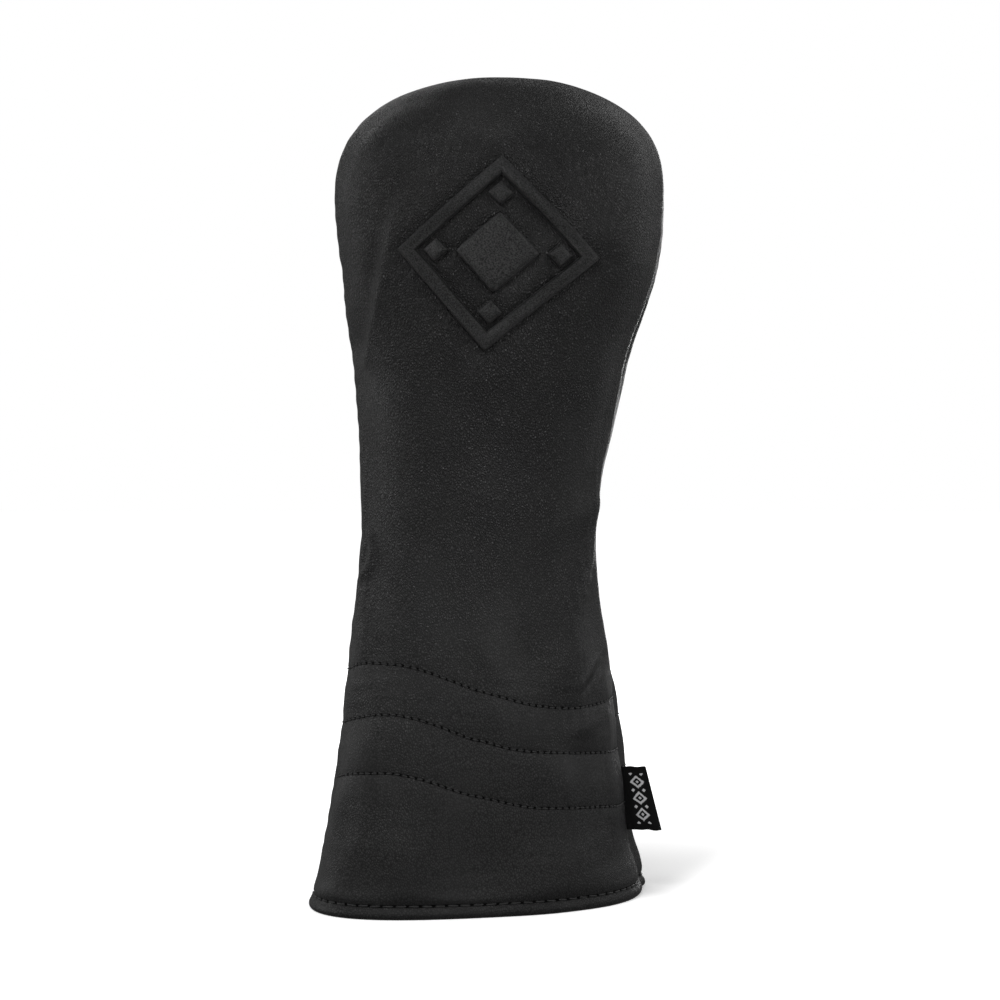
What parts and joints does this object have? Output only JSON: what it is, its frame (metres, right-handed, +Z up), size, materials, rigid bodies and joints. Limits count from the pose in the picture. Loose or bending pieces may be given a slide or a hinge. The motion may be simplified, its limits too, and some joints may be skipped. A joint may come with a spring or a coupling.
{
  "type": "driver head cover",
  "caption": "Tall padded black leather sock for a golf driver: wide rounded head, narrow throat, flared skirt open underneath, raised diamond emblem and side loop label.",
  "frame": {"origin": "centre of the bounding box, on the plane of the hem", "axes": "+Z up from the open hem to the crown; -Y is the embroidered front; +X is the wearer's right as seen from the front, where the loop label is sewn into the seam"},
  "size_m": [0.1446, 0.113, 0.335],
  "materials": {
    "leather": "black polyurethane leather, fine pebble grain, soft satin sheen",
    "foam": "grey open-cell padding foam, about 3 mm",
    "plush": "short charcoal plush lining",
    "elastic": "black woven elastic band",
    "embroidery": "black satin-stitch embroidery thread",
    "puff_foam": "black embroidery foam",
    "thread": "black bonded polyester thread",
    "woven_label": "black woven damask ribbon with a pale grey woven motif"
  },
  "bodies": {
    "cover": {"back_lining": "plush", "back_padding": "foam", "back_panel": "leather", "back_wave_stitch_lower": "thread", "back_wave_stitch_middle": "thread", "back_wave_stitch_upper": "thread", "emblem_bottom_core": "puff_foam", "emblem_bottom_cover": "embroidery", "emblem_center_core": "puff_foam", "emblem_center_cover": "embroidery", "emblem_frame_core": "puff_foam", "emblem_frame_cover": "embroidery", "emblem_left_core": "puff_foam", "emblem_left_cover": "embroidery", "emblem_right_core": "puff_foam", "emblem_right_cover": "embroidery", "emblem_top_core": "puff_foam", "emblem_top_cover": "embroidery", "front_lining": "plush", "front_padding": "foam", "front_panel": "leather", "front_wave_stitch_lower": "thread", "front_wave_stitch_middle": "thread", "front_wave_stitch_upper": "thread", "hem_topstitch": "thread", "lining_seam_thread": "thread", "side_seam_thread": "thread", "throat_elastic": "elastic"},
    "label": {"label": "woven_label"}
  },
  "joints": [
    {"name": "label_flap", "type": "hinge", "parent": "cover", "child": "label", "pos_m": [0.0594, 0.01476, 0.02523], "axis": [-0.1784, -0.0768, 0.981], "range_deg": [-70, 55]}
  ]
}
